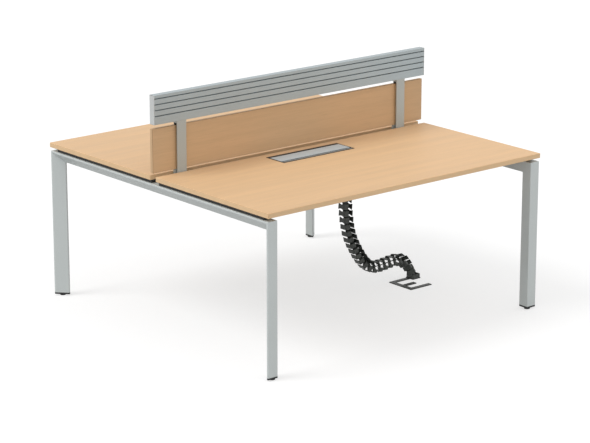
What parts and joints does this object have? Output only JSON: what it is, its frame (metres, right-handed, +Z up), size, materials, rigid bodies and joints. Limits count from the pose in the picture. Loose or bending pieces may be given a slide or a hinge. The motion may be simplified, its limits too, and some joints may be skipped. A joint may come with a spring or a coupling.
{
  "type": "benching desk",
  "caption": "Face-to-face benching desk: two wood tops on a triangular-tube frame, shared screen with tool rail, cable boxes with lids, cable tray and cable spine.",
  "frame": {"origin": "on the floor under the middle of the bench", "axes": "+X along the screen, to the right for the near user; -Y towards the near user, +Y towards the far user; +Z up"},
  "size_m": [1.6, 1.6, 1.104],
  "materials": {
    "wood_top": "satin melamine, pale fine-grained wood",
    "wood_edge": "satin edge banding",
    "wood_panel": "satin melamine, pale fine-grained wood",
    "frame_paint": "satin silver powder coat",
    "grey_paint": "satin silver powder coat",
    "rail_aluminium": "satin anodised",
    "light_aluminium": "satin anodised",
    "black_plastic": "matt black",
    "spine_plastic": "matt dark grey",
    "floor_steel": "matt dark grey powder coat",
    "fastener_steel": "zinc-plated"
  },
  "bodies": {
    "desk": {"near_top_board": "wood_top", "far_top_board": "wood_top", "near_top_edging": "wood_edge", "far_top_edging": "wood_edge", "near_top_spacers": "black_plastic", "far_top_spacers": "black_plastic", "top_screws": "fastener_steel", "left_near_leg": "frame_paint", "left_far_leg": "frame_paint", "right_near_leg": "frame_paint", "right_far_leg": "frame_paint", "left_end_beam": "frame_paint", "right_end_beam": "frame_paint", "leg_end_caps": "black_plastic", "near_long_beam": "frame_paint", "far_long_beam": "frame_paint", "long_beam_bolts": "fastener_steel", "left_cross_member": "frame_paint", "right_cross_member": "frame_paint", "cross_member_bolts": "fastener_steel", "cable_tray": "frame_paint", "tray_screws": "fastener_steel", "left_upright": "grey_paint", "right_upright": "grey_paint", "left_upright_foot": "grey_paint", "right_upright_foot": "grey_paint", "upright_screws": "fastener_steel", "screen_panel": "wood_panel", "screen_panel_edging": "wood_edge", "panel_screws": "fastener_steel", "left_panel_buffer": "black_plastic", "right_panel_buffer": "black_plastic", "left_rail_bracket": "grey_paint", "right_rail_bracket": "grey_paint", "bracket_screws": "fastener_steel", "near_tool_rail": "rail_aluminium", "far_tool_rail": "rail_aluminium", "left_rail_end_cap": "light_aluminium", "right_rail_end_cap": "light_aluminium", "near_box_bezel": "black_plastic", "near_box_hinge_pins": "fastener_steel", "near_box_front_bar": "light_aluminium", "far_box_bezel": "black_plastic", "far_box_hinge_pins": "fastener_steel", "far_box_front_bar": "light_aluminium", "box_screws": "fastener_steel", "spine_top_clip": "spine_plastic", "spine_links_upper": "spine_plastic", "spine_links_bend": "spine_plastic", "spine_links_arch": "spine_plastic", "spine_foot_clip": "spine_plastic", "spine_screws": "fastener_steel", "floor_plate": "floor_steel"},
    "near_lid": {"near_box_lid": "light_aluminium"},
    "far_lid": {"far_box_lid": "light_aluminium"},
    "left_near_foot": {"left_near_glide": "black_plastic"},
    "left_far_foot": {"left_far_glide": "black_plastic"},
    "right_near_foot": {"right_near_glide": "black_plastic"},
    "right_far_foot": {"right_far_glide": "black_plastic"}
  },
  "joints": [
    {"name": "near_lid_hinge", "type": "hinge", "parent": "desk", "child": "near_lid", "pos_m": [0, -0.0852, 0.738], "axis": [-1, 0, 0], "range_deg": [0, 105]},
    {"name": "far_lid_hinge", "type": "hinge", "parent": "desk", "child": "far_lid", "pos_m": [0, 0.0852, 0.738], "axis": [1, 0, 0], "range_deg": [0, 105]},
    {"name": "left_near_levelling", "type": "slide", "parent": "desk", "child": "left_near_foot", "axis": [0, 0, -1], "range_m": [0, 0.01]},
    {"name": "left_far_levelling", "type": "slide", "parent": "desk", "child": "left_far_foot", "axis": [0, 0, -1], "range_m": [0, 0.01]},
    {"name": "right_near_levelling", "type": "slide", "parent": "desk", "child": "right_near_foot", "axis": [0, 0, -1], "range_m": [0, 0.01]},
    {"name": "right_far_levelling", "type": "slide", "parent": "desk", "child": "right_far_foot", "axis": [0, 0, -1], "range_m": [0, 0.01]}
  ]
}
